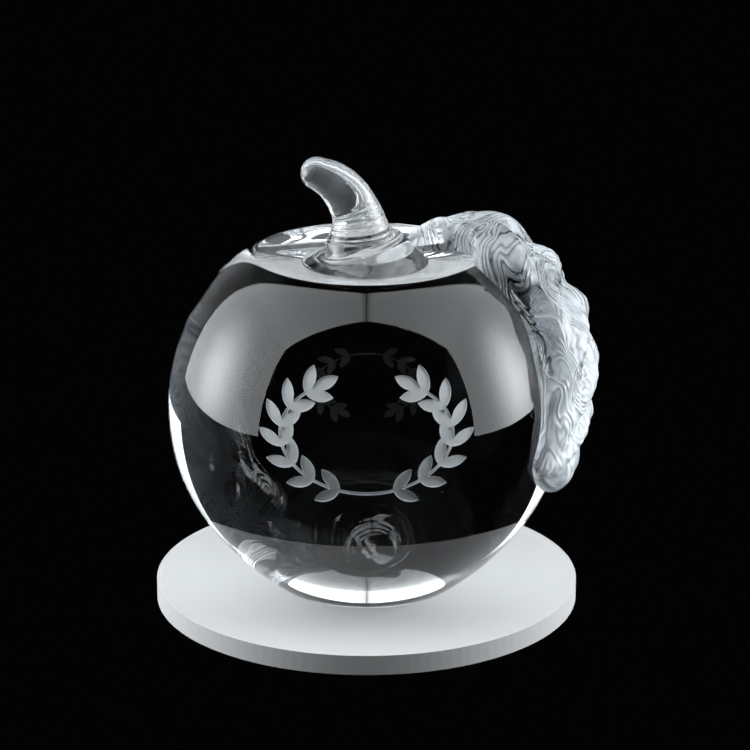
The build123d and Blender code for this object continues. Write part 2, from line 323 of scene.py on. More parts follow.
class Shader:
    """A material's or lamp's node tree, built by adding nodes with their settings and inputs."""

    def __init__(self, owner: Any) -> None:
        """Empties the tree of a material or lamp.

        Args:
            owner: The material or lamp.
        """
        self.owner = owner
        owner.use_nodes = True
        self.tree = owner.node_tree
        self.tree.nodes.clear()

    def node(
        self, kind: str, settings: dict[str, Any], inputs: dict[Any, Any], output: Any = 0
    ) -> Socket:
        """Adds a node.

        Args:
            kind: The node's type.
            settings: Its attributes, which are set first.
            inputs: Values or sockets by the name or number of the node's inputs.
            output: The name or number of the output that is wanted.

        Returns:
            That output.
        """
        made = self.tree.nodes.new(kind)
        for key, value in settings.items():
            setattr(made, key, value)
        for key, value in inputs.items():
            if isinstance(value, Socket):
                self.tree.links.new(value.link, made.inputs[key])
            else:
                made.inputs[key].default_value = value
        return Socket(self, made.outputs[output])

    def math(self, operation: str, *values: Any, clamp: bool = False) -> Socket:
        """One Math node on plain or wrapped values."""
        settings = {"operation": operation, "use_clamp": clamp}
        return self.node("ShaderNodeMath", settings, dict(enumerate(values)))

    def part(self, vector: Socket, which: int) -> Socket:
        """One coordinate of a vector: 0 is x, 1 is y and 2 is z."""
        return self.node("ShaderNodeSeparateXYZ", {}, {0: vector}, which)

    def noise(
        self, position: Socket, scale: float, detail: float, distortion: float = 0.0
    ) -> Socket:
        """Noise from 0 to 1 at a position."""
        values = {"Vector": position, "Scale": scale, "Detail": detail, "Distortion": distortion}
        return self.node("ShaderNodeTexNoise", {}, values, "Fac")

    def eased(self, value: Socket, low: float, high: float) -> Socket:
        """0 at low and 1 at high, with a smooth step between them."""
        values = {"Value": value, "From Min": low, "From Max": high}
        return self.node("ShaderNodeMapRange", {"interpolation_type": "SMOOTHSTEP"}, values)

    def position(self) -> Socket:
        """Where a point of the surface is in its own object's coordinates."""
        return self.node("ShaderNodeTexCoord", {}, {}, "Object")

    def bump(self, height: Socket, distance: float, strength: float = 1.0) -> Socket:
        """The normals of a skin that a height raises by up to a distance in metres."""
        values = {"Strength": strength, "Distance": distance, "Height": height}
        return self.node("ShaderNodeBump", {}, values, "Normal")

    def solid(self, colour: Colour, roughness: Any, more: dict[str, Any]) -> Socket:
        """A Principled surface, with its further inputs by name."""
        values = {"Base Color": colour, "Roughness": roughness} | more
        return self.node("ShaderNodeBsdfPrincipled", {}, values)

    def glass(self, colour: Colour, roughness: Any, ior: float, normal: Socket) -> Socket:
        """A Principled surface that light passes through."""
        more = {"IOR": ior, "Transmission Weight": 1.0, "Normal": normal}
        return self.solid(colour, roughness, more)

    def mix(self, share: Socket, first: Socket, second: Socket) -> Socket:
        """Two shaders in one, with the second's share."""
        return self.node("ShaderNodeMixShader", {}, {0: share, 1: first, 2: second})

    def surface(self, shader: Socket, output: str = "ShaderNodeOutputMaterial") -> Any:
        """Joins a finished shader to the tree's output and gives the material or lamp."""
        made = self.tree.nodes.new(output)
        self.tree.links.new(shader.link, made.inputs["Surface"])
        return self.owner


def new_shader(name: str) -> Shader:
    """An empty tree in a new material of that name."""
    return Shader(bpy.data.materials.new(name))


@dataclass(frozen=True)
class ClearGlass:
    """Fire-polished crystal, with the faint waves that hand tooling leaves in its skin.

    In the bowl round the stem, which is given by radii and heights in metres, streaks of
    painted white lie on it: a painted reflection in place of the light the bowl's skin reflects.
    """

    name: str = "clear_crystal"
    ior: float = 1.545
    wave_scale: float = 55.0
    wave_height: float = 0.00006
    smear_scale: float = 330.0
    haze: float = 0.004
    streak_scale: float = 220.0
    streak_contrast: float = 1.6
    streak_least: float = 0.2
    # The painted reflection in the bowl: its greatest share, its roughness, and where it lies.
    painted_light: float = 0.16
    painted_light_roughness: float = 0.35
    painted_light_radius: tuple[float, float] = (0.0205, 0.0235)
    painted_light_height: tuple[float, float] = (0.055, 0.06)
    axis_x: float = 0.0

    def make(self) -> bpy.types.Material:
        """Clear glass whose skin has slow waves and a trace of handling haze."""
        shader = new_shader(self.name)
        position = shader.position()
        waves = shader.noise(position, self.wave_scale, 1.0)
        smears = shader.noise(position, self.smear_scale, 3.0)
        bump = shader.bump(waves, self.wave_height)
        glass = shader.glass(CRYSTAL, smears * self.haze, self.ior, bump)
        # Painted reflection: a matt white surface in place of the light the bowl reflects.
        white = shader.solid(PAINTED_LIGHT_WHITE, self.painted_light_roughness, {"Normal": bump})
        to_axis = {"Location": (-self.axis_x, 0.0, 0.0), "Scale": (1.0, 1.0, 0.0)}
        flat = shader.node("ShaderNodeMapping", {}, {"Vector": position} | to_axis)
        radius = shader.node("ShaderNodeVectorMath", {"operation": "LENGTH"}, {0: flat}, "Value")
        within = shader.eased(radius, self.painted_light_radius[1], self.painted_light_radius[0])
        top = within * shader.eased(shader.part(position, 2), *self.painted_light_height)
        streaks = shader.noise(position, self.streak_scale, 4.0, distortion=2.0)
        # How much painted reflection each point of the bowl gets, in streaks.
        share = top * (streaks * self.streak_contrast + self.streak_least) * self.painted_light
        return shader.surface(shader.mix(share, glass, white))


@dataclass(frozen=True)
class WorkedGlass:
    """Glass pressed and drawn with tools while soft, which left whorled lines in its skin.

    The lines are the contours of a slow noise. Between them a painted white lies on the skin
    in patches, more so at low heights, and thinner on the lines, which so read as dark
    streaks: painted light in place of the light the clear glass refracts. It is left out
    in the crevice, where the glass is clear.
    """

    name: str = "worked_crystal"
    # Painted light: the colour of the white in place of the light the clear glass refracts.
    painted_white: Colour = (0.71, 0.76, 0.8, 1.0)
    ior: float = 1.545
    clear_roughness: float = 0.03
    # The painted white's roughness.
    painted_white_roughness: float = 0.4
    whorl_scale: float = 62.0
    whorl_lines: float = 100.0
    whorl_depth: float = 0.00005
    whorl_stretch: float = 0.6
    patch_scale: float = 186.0
    # The painted white: its mean share, how much it changes in patches, the extra at low heights
    # and where that extra lies, and how much it thins on the lines.
    painted_white_share: float = 0.46
    painted_white_change: float = 1.0
    painted_white_low: float = 0.42
    painted_white_height: tuple[float, float] = (0.068, 0.035)
    line_change: float = 0.34

    def make(self) -> bpy.types.Material:
        """A mix of clear glass and painted white light under one pattern of contour lines."""
        shader = new_shader(self.name)
        place = shader.position()
        stretched = {"Vector": place, "Scale": (1.0, 1.0, self.whorl_stretch)}
        position = shader.node("ShaderNodeMapping", {}, stretched)
        slow = shader.noise(position, self.whorl_scale, 1.5, distortion=1.6)
        lines = shader.math("SINE", slow * self.whorl_lines)
        bump = shader.bump(lines, self.whorl_depth)
        clear = shader.glass(CRYSTAL, self.clear_roughness, self.ior, bump)
        # Painted light: a matt white surface in place of the light the clear glass refracts.
        painted_light = shader.solid(self.painted_white, self.painted_white_roughness, {"Normal": bump})
        patches = shader.noise(position, self.patch_scale, 3.0)
        thin = lines * 0.5 + 0.5
        # The painted white's share: patchy, thinner on the lines, more at low heights.
        share = patches * self.painted_white_change - thin * thin * thin * self.line_change
        share = share + shader.eased(shader.part(place, 2), *self.painted_white_height) * self.painted_white_low
        share = share + (self.painted_white_share - self.painted_white_change / 2)
        # No painted white in the crevice, so it shows clear glass.
        crevice = shader.node("ShaderNodeAttribute", {"attribute_name": CREVICE}, {}, "Fac")
        return shader.surface(shader.mix(share * (1.0 - crevice), clear, painted_light))


@dataclass(frozen=True)
class FrostedGlass:
    """Sandblasted glass: a fine white tooth that scatters what light it lets through."""

    name: str = "frosted_crystal"
    colour: Colour = (0.86, 0.89, 0.9, 1.0)
    ior: float = 1.52
    glass_roughness: float = 0.5
    white_roughness: float = 0.75
    share_white: float = 0.62
    share_change: float = 0.2
    grain_scale: float = 4200.0
    grain_height: float = 0.00004
    grain_strength: float = 0.6

    def make(self) -> bpy.types.Material:
        """A mix of rough glass and matt white with a fine grain."""
        shader = new_shader(self.name)
        grain = shader.noise(shader.position(), self.grain_scale, 2.0)
        bump = shader.bump(grain, self.grain_height, self.grain_strength)
        rough = shader.glass(self.colour, self.glass_roughness, self.ior, bump)
        white = shader.solid(self.colour, self.white_roughness, {"Normal": bump})
        share = grain * self.share_change + (self.share_white - self.share_change / 2)
        return shader.surface(shader.mix(share, rough, white))


@dataclass(frozen=True)
class FusedJoint:
    """Where hot glass ran together: nothing is left of the surface, so light passes on."""

    name: str = "fused_joint"

    def make(self) -> bpy.types.Material:
        """A surface that isn't there to be seen."""
        shader = new_shader(self.name)
        return shader.surface(shader.solid((1.0, 1.0, 1.0, 1.0), 0.5, {"Alpha": 0.0}))


@dataclass(frozen=True)
class PaleFloorFinish:
    """The studio floor's matt pale surface."""

    name: str = "pale_floor"
    colour: Colour = (0.6, 0.6, 0.6, 1.0)
    roughness: float = 0.9

    def make(self) -> bpy.types.Material:
        """A matt pale surface."""
        shader = new_shader(self.name)
        return shader.surface(shader.solid(self.colour, self.roughness, {}))


class Slot(Enum):
    """The material slots of a glass piece, in order."""

    CLEAR = 0
    JOINT = 1
    FROST = 2


@dataclass
class Skin:
    """Triangles under one slot, with a direction for each of their corners."""

    triangles: Array
    normals: Array
    slot: Slot


def facing(points: Array, skin: Skin) -> Skin:
    """The same skin with each triangle wound so that it faces along its corners' directions."""
    a, b, c = (points[skin.triangles[:, k]] for k in range(3))
    wrong = np.sum(np.cross(b - a, c - a) * skin.normals.sum(1), axis=1) < 0
    triangles, normals = skin.triangles.copy(), skin.normals.copy()
    triangles[wrong] = triangles[wrong][:, ::-1]
    normals[wrong] = normals[wrong][:, ::-1]
    return Skin(triangles, normals, skin.slot)


def make_piece(
    name: str, points: Array, skins: Sequence[Skin], axis: Vector, materials: Sequence[Any]
) -> bpy.types.Object:
    """Makes one piece of the object, with its place in its mesh.

    Args:
        name: The piece's name.
        points: Its points in millimetres about the apple's axis.
        skins: What covers it.
        axis: Where the apple's axis stands in the frame, in metres.
        materials: The materials of the slots, in the order of Slot.

    Returns:
        The new object.
    """
    skins = [facing(points, skin) for skin in skins]
    triangles = np.vstack([skin.triangles for skin in skins])
    normals = np.vstack([skin.normals.reshape(-1, 3) for skin in skins])
    slots = np.concatenate([np.full(len(skin.triangles), skin.slot.value) for skin in skins])
    a, b, c = (points[triangles[:, k]] for k in range(3))
    real = np.linalg.norm(np.cross(b - a, c - a), axis=1) > SMALLEST_AREA
    normals = normals.reshape(-1, 3, 3)[real].reshape(-1, 3)
    triangles, slots = triangles[real], slots[real]
    mesh = bpy.data.meshes.new(name)
    placed = points * MM + np.array(axis)
    mesh.from_pydata(placed.tolist(), [], triangles.tolist())
    for material in materials:
        mesh.materials.append(material)
    mesh.polygons.foreach_set("material_index", slots.astype(np.int32))
    mesh.polygons.foreach_set("use_smooth", np.ones(len(triangles), bool))
    mesh.normals_split_custom_set(normals.tolist())
    mesh.update()
    made = bpy.data.objects.new(name, mesh)
    bpy.context.scene.collection.objects.link(made)
    log.info("%s: %d points, %d triangles", name, len(points), len(triangles))
    return made


def grid_normals(points: Array) -> Array:
    """Directions of a grid of points, from the cross product of its differences."""
    along = np.gradient(points, axis=0)
    across = np.gradient(points, axis=1)
    normal = np.cross(along, across)
    size = np.linalg.norm(normal, axis=-1, keepdims=True)
    return normal / np.where(size == 0, 1.0, size)


@dataclass
class Stem:
    """The stem, which spreads like a trumpet into the hollow and curls to the left."""

    outline: Outline
    stations: tuple[tuple[float, float, float], ...] = (
        (-0.4, 65.8, 13.8), (-0.4, 66.8, 12.4), (-0.5, 68.5, 10.0), (-0.8, 69.9, 8.35),
        (-1.1, 71.0, 7.25), (-1.3, 72.7, 6.25), (-1.6, 75.0, 5.4), (-2.5, 77.8, 4.8),
        (-4.3, 80.8, 4.4), (-6.8, 83.2, 3.9), (-9.7, 84.7, 3.3),
    )
    columns: int = 240
    rows: int = 150
    tip_rings: int = 24
    seat_rows: int = 16
    fold_height: float = 0.05
    fold_pitch: float = 1.25
    fold_from: float = 70.0
    fold_rise: float = 1.5
    fold_to: float = 77.5
    fold_fall: float = 3.0
    seat_rounds: int = 12
    clear_station: int = 4

    def __post_init__(self) -> None:
        """Measures the centre line, and finds where each column leaves the hollow's skin."""
        rows = np.asarray(self.stations, float)
        run = np.linalg.norm(np.diff(rows, axis=0), axis=1)
        self.travelled = np.concatenate([[0.0], np.cumsum(run)])
        self.azimuth = np.linspace(-math.pi, math.pi, self.columns + 1)
        turn = self.azimuth.copy()
        for _ in range(self.seat_rounds):
            place = self.seat(turn)[1]
            turn = turn + np.angle(np.exp(1j * (self.azimuth - place)))
        self.turn = turn
        self.start, _, self.seat_distance = self.seat(turn)

    def tube(self, along: Array, turn: Array) -> Array:
        """Points on the stem's skin.

        Formula: centre(along) + radius(along) * (side * sin(turn) - y * cos(turn)), where
        side is square to the centre line in its plane. Fine folds ring the stem's foot.
        """
        x, z, radius = np.moveaxis(eased(self._table(), along), -1, 0)
        x1, z1, _ = np.moveaxis(eased(self._table(), along + TANGENT_STEP), -1, 0)
        x0, z0, _ = np.moveaxis(eased(self._table(), along - TANGENT_STEP), -1, 0)
        size = np.hypot(x1 - x0, z1 - z0)
        way_x, way_z = (x1 - x0) / size, (z1 - z0) / size
        fold = smooth_step((z - self.fold_from) / self.fold_rise)
        fold = fold * smooth_step((self.fold_to - z) / self.fold_fall)
        radius = radius + self.fold_height * fold * np.sin(2 * math.pi * z / self.fold_pitch)
        side = radius * np.sin(turn)
        return np.stack([x + side * way_z, -radius * np.cos(turn), z - side * way_x], -1)

    def _table(self) -> Array:
        """The stations with the distance travelled as their place."""
        return np.column_stack([self.travelled, np.asarray(self.stations, float)])

    def seat(self, turn: Array) -> tuple[Array, Array, Array]:
        """Where the stem's skin comes out of the hollow, by halving.

        Args:
            turn: Turns round the centre line.

        Returns:
            Travel along the stem, and the azimuth and distance of the place on the apple.
        """
        low = np.zeros_like(turn)
        high = np.full_like(turn, self.travelled[self.clear_station])
        for _ in range(HALVINGS):
            middle = (low + high) / 2
            x, y, z = np.moveaxis(self.tube(middle, turn), -1, 0)
            above = z > self.outline.hollow_at_radius(np.hypot(x, y))[1]
            high = np.where(above, middle, high)
            low = np.where(above, low, middle)
        x, y, _ = np.moveaxis(self.tube(high, turn), -1, 0)
        return high, np.arctan2(x, -y), self.outline.hollow_at_radius(np.hypot(x, y))[0]

    def seat_grid(self) -> tuple[Array, Array]:
        """Distances and azimuths of the apple's skin under the stem, from its edge inwards."""
        share = np.linspace(0.0, 1.0, self.seat_rows + 1)[:-1, None]
        middle = self.outline.distances[0]
        edge = self.seat_distance[None, :-1]
        distance = edge + (middle - edge) * share
        return distance, np.broadcast_to(self.azimuth[None, :-1], distance.shape)

    def tip(self, last: Array) -> tuple[Array, Array, Array]:
        """The rounded tip beyond the skin's last ring.

        Args:
            last: The points of that ring.

        Returns:
            The tip's rings, its pole and the stem's direction there.
        """
        end = self.travelled[-1]
        x1, z1, radius = eased(self._table(), np.array(end))
        x0, z0, _ = eased(self._table(), np.array(end - TANGENT_STEP))
        way = np.array([x1 - x0, 0.0, z1 - z0])
        way /= np.linalg.norm(way)
        bend = (np.arange(1, self.tip_rings) / self.tip_rings * math.pi / 2)[:, None, None]
        centre = np.array([self.stations[-1][0], 0.0, self.stations[-1][1]])
        rings = centre + way * radius * np.sin(bend) + (last - last.mean(0))[None] * np.cos(bend)
        return rings, centre + way * radius, way

    def build(self, axis: Vector, materials: Sequence[Any]) -> bpy.types.Object:
        """Builds the stem: its skin, its rounded tip and the seat on the hollow."""
        columns = self.columns
        share = np.linspace(0.0, 1.0, self.rows)[:, None]
        along = self.start[None, :-1] + (self.travelled[-1] - self.start[None, :-1]) * share
        skin = self.tube(along, np.broadcast_to(self.turn[None, :-1], along.shape))
        distance, azimuth = self.seat_grid()
        skin[0] = self.outline.place(distance[0], azimuth[0])
        cap, tip, way = self.tip(skin[-1])
        body = np.concatenate([skin, cap])
        seat = self.outline.place(distance[1:], azimuth[1:])
        middle = self.outline.place(self.outline.distances[:1], np.zeros(1))
        rows = len(body)
        points = np.vstack([body.reshape(-1, 3), tip[None], seat.reshape(-1, 3), middle])
        wide = np.concatenate([body[:, -1:], body, body[:, :1]], axis=1)
        directions = grid_normals(wide)[:, 1:-1]
        outward = body - body.mean(1, keepdims=True)
        if np.sum(directions[rows // 2] * outward[rows // 2]) < 0:
            directions = -directions
        directions = np.vstack([directions.reshape(-1, 3), way[None]])
        side = closed_rings(np.arange(rows * columns), columns, rows * columns)
        numbers = np.arange(seat[..., 0].size) + rows * columns + 1
        numbers = np.concatenate([np.arange(columns), numbers])
        pole = len(points) - 1
        under = closed_rings(numbers, columns, pole)
        down = np.zeros_like(points)
        down[numbers] = -self.outline.normal(distance, azimuth).reshape(-1, 3)
        down[pole] = (0.0, 0.0, -1.0)
        skins = [
            Skin(side, directions[side], Slot.CLEAR),
            Skin(under, down[under], Slot.JOINT),
        ]
        return make_piece("stem_glass", points, skins, axis, materials)


@dataclass
class Leaf:
    """The thick leaf laid over the apple's shoulder, with its stalk, midrib and side veins."""

    outline: Outline
    stations: tuple[tuple[float, float, float, float], ...] = (
        (-10.6, 137.0, 2.0, 3.0), (-8.2, 125.0, 2.8, 4.7), (-4.9, 114.0, 3.6, 6.2),
        (-1.8, 103.5, 6.6, 6.8), (0.7, 95.5, 11.3, 7.1), (3.6, 91.8, 12.9, 7.3),
        (12.9, 90.0, 14.0, 8.1), (22.0, 88.5, 17.3, 8.6), (30.9, 87.0, 18.6, 7.4),
        (38.7, 83.5, 18.4, 5.4), (44.2, 80.5, 18.0, 4.7), (53.9, 77.5, 17.0, 4.2),
    )
    rows: int = 330
    columns: int = 130
    start_round: float = 2.5
    tip_round: float = 11.0
    squareness: float = 2.8
    stalk_squareness: float = 2.0
    rear_lift: float = 0.10
    vein_starts: tuple[float, ...] = (-15.3, -4.2, 4.2, 13.4, 22.9, 33.3, 41.2, 56.7)
    vein_slant: float = 0.62
    vein_depth: float = 2.0
    lobe_rest: float = 0.7
    scallop: float = 0.07
    midrib_depth: float = 1.7
    midrib_half_width: float = 2.0
    midrib_clear: float = 0.25
    relief_from: float = -5.0
    relief_rise: float = 5.0
    relief_fall: float = 8.0
    flank_share: float = 0.35
    flank_from: float = 0.35
    flank_rise: float = 0.4
    least_bow: float = 0.15
    crest_blend: float = 6.0
    crevice_across: float = -0.95
    crevice_depth: float = 4.4
    crevice_half_width: float = 1.4
    crevice_from: float = 3.5
    crevice_rise: float = 5.0
    crevice_to: float = 30.0
    crevice_fall: float = 9.0
    whorls: tuple[tuple[float, float, float], ...] = (
        (11.6, -0.45, 5.0), (18.0, -0.55, 5.5), (25.0, -0.5, 6.0), (33.0, -0.55, 6.5),
        (41.0, -0.4, 6.0), (14.0, 0.5, 5.5), (24.0, 0.55, 6.0), (35.0, 0.45, 6.5),
    )
    whorl_height: float = 0.16
    whorl_pitch: float = 1.9

    def on_skin(self, distance: Array, azimuth: Array) -> tuple[Array, Array]:
        """Where a point of the blade lies on the apple.

        The blade was laid on in slices square to the outline, each one flat. From the
        outline's own point the slice goes aside, and then straight in to the skin. Over
        the crest this passes smoothly into plain distance and azimuth.

        Args:
            distance: Distances of the slices from the crest.
            azimuth: Azimuths that the points would have round a plain cylinder.

        Returns:
            Distances and azimuths on the apple's skin.
        """
        radius, height, out_radial, out_up = self.outline.at(np.maximum(distance, 0.0))
        aside = -radius * np.cos(azimuth)
        low, high = np.zeros_like(radius), radius.copy()
        for _ in range(HALVINGS):
            sag = (low + high) / 2
            skin = self.outline.outside_at_height(height - sag * out_up)[1]
            out = np.hypot(radius - sag * out_radial, aside) > skin
            low = np.where(out, sag, low)
            high = np.where(out, high, sag)
        flat_distance = self.outline.outside_at_height(height - sag * out_up)[0]
        flat_azimuth = np.arctan2(radius - sag * out_radial, -aside)
        share = smooth_step(distance / self.crest_blend)
        return (
            distance + (flat_distance - distance) * share,
            azimuth + (flat_azimuth - azimuth) * share,
        )

    def surface(self) -> tuple[Array, Array, Array, Array]:
        """The blade's upper skin as distances, azimuths and heights over the apple.

        The last array is how far each point lies in the crevice, from 0 to 1.

        Formula: height = thickness * bow(across) plus relief, where bow is a superellipse
        and the relief is a row of lobes between slanting veins and a groove on the midrib.
        """
        first, last = self.stations[0][0], self.stations[-1][0]
        share = np.linspace(0.0, 1.0, self.rows + 2)[1:-1]
        share = (share + (1 - np.cos(math.pi * share)) / 2) / 2
        along = (first + (last - first) * share)[:, None]
        across = np.cos(np.linspace(0.0, math.pi, self.columns))[None, :]
        azimuth, half_width, thickness = np.moveaxis(eased(self.stations, along), -1, 0)
        to_tip = np.clip((last - along) / self.tip_round, 0.0, 1.0)
        to_start = np.clip((along - first) / self.start_round, 0.0, 1.0)
        closing = np.sqrt(to_tip * (2 - to_tip)) * np.sqrt(to_start * (2 - to_start))
        half_width = half_width * closing
        thickness = thickness * np.sqrt(closing)
        relief = np.clip((along - self.relief_from) / self.relief_rise, 0.0, 1.0)
        relief = relief * np.clip((last - along) / self.relief_fall, 0.0, 1.0)
        power = self.stalk_squareness + (self.squareness - self.stalk_squareness) * relief
        bow = np.clip(1 - np.abs(across) ** power, 0.0, None) ** (1 / power)
        back = along - self.vein_slant * np.abs(across) * half_width * relief
        starts = np.asarray(self.vein_starts)
        k = np.clip(np.searchsorted(starts, back, side="right") - 1, 0, len(starts) - 2)
        phase = (back - starts[k]) / (starts[k + 1] - starts[k])
        lobe = np.sin(math.pi * phase) ** 2
        clear = np.clip(np.abs(across) / self.midrib_clear, 0.0, 1.0)
        groove = self.midrib_depth * np.exp(-((across * half_width / self.midrib_half_width) ** 2))
        crown = thickness * (1 + self.rear_lift * across * relief)
        flank = smooth_step((np.abs(across) - self.flank_from) / self.flank_rise)
        flank = 1 - (1 - self.flank_share) * flank
        pressed = self.vein_depth * clear * flank * (lobe - self.lobe_rest) - groove
        crevice = self.crevice(along, across * half_width, half_width)
        crown = crown + relief * (pressed + self.tooling(along, across * half_width, half_width))
        crown = crown - self.crevice_depth * crevice
        radius = self.outline.at(along)[0]
        reach = half_width * (1 + self.scallop * relief * (lobe - self.lobe_rest) * bow)
        distance, azimuth = self.on_skin(
            np.broadcast_to(along, lobe.shape), np.radians(azimuth) + across * reach / radius
        )
        return distance, azimuth, np.maximum(crown, self.least_bow * bow) * bow, crevice

    def crevice(self, along: Array, aside: Array, half_width: Array) -> Array:
        """How far points of the blade lie in the crevice behind its front lip.

        Formula: a Gaussian at one share of the half width, eased in and out along the blade.
        """
        off = (aside - self.crevice_across * half_width) / self.crevice_half_width
        begins = smooth_step((along - self.crevice_from) / self.crevice_rise)
        ends = smooth_step((self.crevice_to - along) / self.crevice_fall)
        return begins * ends * np.exp(-(off**2))

    def tooling(self, along: Array, aside: Array, half_width: Array) -> Array:
        """The whorls that the tools left on the blade.

        Formula: height * (sin(2 pi r / pitch) - 1) under a Gaussian of the whorl's reach,
        where r is the distance from its middle. The marks are only ever pressed in.
        """
        made = np.zeros(np.broadcast(along, aside).shape)
        for distance, across, reach in self.whorls:
            r = np.hypot(along - distance, aside - across * half_width)
            ring = np.sin(2 * math.pi * r / self.whorl_pitch) - 1.0
            made = made + self.whorl_height * ring * np.exp(-((r / reach) ** 2))
        return made

    def ends(self) -> tuple[Array, Array]:
        """Distances and azimuths of the blade's two ends, where its skin closes to a point."""
        distance = np.array([self.stations[0][0], self.stations[-1][0]])
        azimuth = np.radians([self.stations[0][1], self.stations[-1][1]])
        return self.on_skin(distance, azimuth)

    def rim(self) -> tuple[Array, Array, Array]:
        """The blade's edge on the apple, all the way round.

        Returns:
            The numbers of the edge's points in the blade, and their distances and azimuths.
        """
        distance, azimuth, _ = self.grid
        number = np.arange(distance.size).reshape(distance.shape)
        end_distance, end_azimuth = self.end_places

        def loop(values: Array, ends: Sequence[float]) -> Array:
            """The grid's edge values in order, with the ends' values between its sides."""
            return np.concatenate([ends[:1], values[:, -1], ends[1:], values[::-1, 0]])

        numbers = loop(number, np.array([distance.size, distance.size + 1]))
        return numbers, loop(distance, end_distance), loop(azimuth, end_azimuth)

    def __post_init__(self) -> None:
        """Works out the blade's grid once."""
        *self.grid, self.in_crevice = self.surface()
        self.end_places = self.ends()

    def build(
        self, under: "Under", axis: Vector, materials: Sequence[Any]
    ) -> bpy.types.Object:
        """Builds the leaf: its upper skin, and the underside that is fused to the apple."""
        distance, azimuth, lift = self.grid
        top = self.outline.place(distance, azimuth, lift)
        ends = self.outline.place(*self.end_places)
        rows, columns = distance.shape
        count = rows * columns
        directions = grid_normals(top)
        outward = self.outline.normal(distance, azimuth)
        if np.sum(directions * outward) < 0:
            directions = -directions
        directions = np.vstack([directions.reshape(-1, 3), self.outline.normal(*self.end_places)])
        first = np.arange(columns)
        fans = [fan_triangles(count, first, False)]
        fans += [fan_triangles(count + 1, first + (rows - 1) * columns, False)]
        side = np.vstack([grid_triangles(rows, columns, False)] + fans)
        inner = self.outline.place(under.distance, under.azimuth)
        points = np.vstack([top.reshape(-1, 3), ends, inner])
        down = np.zeros_like(points)
        numbers, rim_distance, rim_azimuth = self.rim()
        down[numbers] = -self.outline.normal(rim_distance, rim_azimuth)
        down[count + 2 :] = -self.outline.normal(under.distance, under.azimuth)
        skins = [
            Skin(side, directions[side], Slot.CLEAR),
            Skin(under.triangles, down[under.triangles], Slot.JOINT),
        ]
        made = make_piece("leaf_glass", points, skins, axis, materials)
        # How far each point lies in the crevice, where the leaf's painted white is left out.
        crevice_layer = made.data.attributes.new(CREVICE, "FLOAT", "POINT")
        values = np.zeros(len(points), np.float32)
        values[:count] = self.in_crevice.ravel()
        crevice_layer.data.foreach_set("value", values)
        return made


@dataclass
class Under:
    """The apple's skin under the leaf: its inner points, and triangles in leaf numbers."""

    distance: Array
    azimuth: Array
    triangles: Array


@dataclass
class Wreath:
    """Two frosted sprigs of pointed leaves, drawn flat and laid on the apple's front."""

    outline: Outline
    centre_height: float = 43.0
    half_width: float = 16.5
    half_height: float = 11.0
    twig_half_width: float = 0.28
    twig_begins: float = -14.0
    twig_ends: float = 146.0
    twig_points: int = 40
    pairs: int = 7
    first_pair: float = 18.0
    pair_step: float = 19.5
    leaf_length: float = 5.4
    leaf_half_width: float = 1.15
    leaf_turn: float = 38.0
    end_turn_back: float = 4.0
    leaf_points: int = 9
    heading_step: float = 0.5

    def beside(self, side: int, turn: Array, aside: float = 0.0) -> Array:
        """Points beside one sprig's twig, whose turn is in degrees up from the bottom."""
        turn = np.radians(turn)
        across = self.half_width * np.sin(turn)
        up = -self.half_height * np.cos(turn)
        way_across = self.half_width * np.cos(turn)
        way_up = self.half_height * np.sin(turn)
        size = np.hypot(way_across, way_up)
        across = across + aside * way_up / size
        up = up - aside * way_across / size
        return np.stack([side * across, self.centre_height + up], -1)

    def heading(self, side: int, turn: float) -> float:
        """The twig's direction at a turn, in radians from across to up."""
        here = self.beside(side, np.array(turn))
        ahead = self.beside(side, np.array(turn + self.heading_step))
        return math.atan2(ahead[1] - here[1], ahead[0] - here[0])

    def leaf(self, base: Array, heading: float) -> Array:
        """A pointed leaf between two arcs, from its base along its heading."""
        half, rise = self.leaf_length / 2, self.leaf_half_width
        bow = (half**2 + rise**2) / (2 * rise)
        x = half * np.sin(np.linspace(-math.pi / 2, math.pi / 2, self.leaf_points))
        y = np.sqrt(bow**2 - x**2) - (bow - rise)
        there = np.stack([x + half, y], -1)
        back = np.stack([x + half, -y], -1)[::-1][1:-1]
        shape = np.vstack([there, back])
        x, y = shape.T
        cos, sin = math.cos(heading), math.sin(heading)
        return base + np.stack([x * cos - y * sin, x * sin + y * cos], -1)

    def loops(self) -> list[Array]:
        """All the wreath's closed outlines, as distances and azimuths on the skin."""
        flat = []
        turns = np.linspace(self.twig_begins, self.twig_ends, self.twig_points)
        for side in (-1, 1):
            outer = self.beside(side, turns, self.twig_half_width)
            inner = self.beside(side, turns, -self.twig_half_width)
            flat.append(np.vstack([outer, inner[::-1]]))
            for pair in range(self.pairs):
                turn = self.first_pair + pair * self.pair_step
                base = self.beside(side, np.array(turn))
                for swing in (-self.leaf_turn, self.leaf_turn):
                    flat.append(self.leaf(base, self.heading(side, turn) + math.radians(swing)))
            end = self.twig_ends - self.end_turn_back
            flat.append(self.leaf(self.beside(side, np.array(end)), self.heading(side, end)))
        laid = []
        for loop in flat:
            distance, radius = self.outline.outside_at_height(loop[:, 1])
            laid.append(np.stack([distance, np.arcsin(loop[:, 0] / radius)], -1))
        return laid


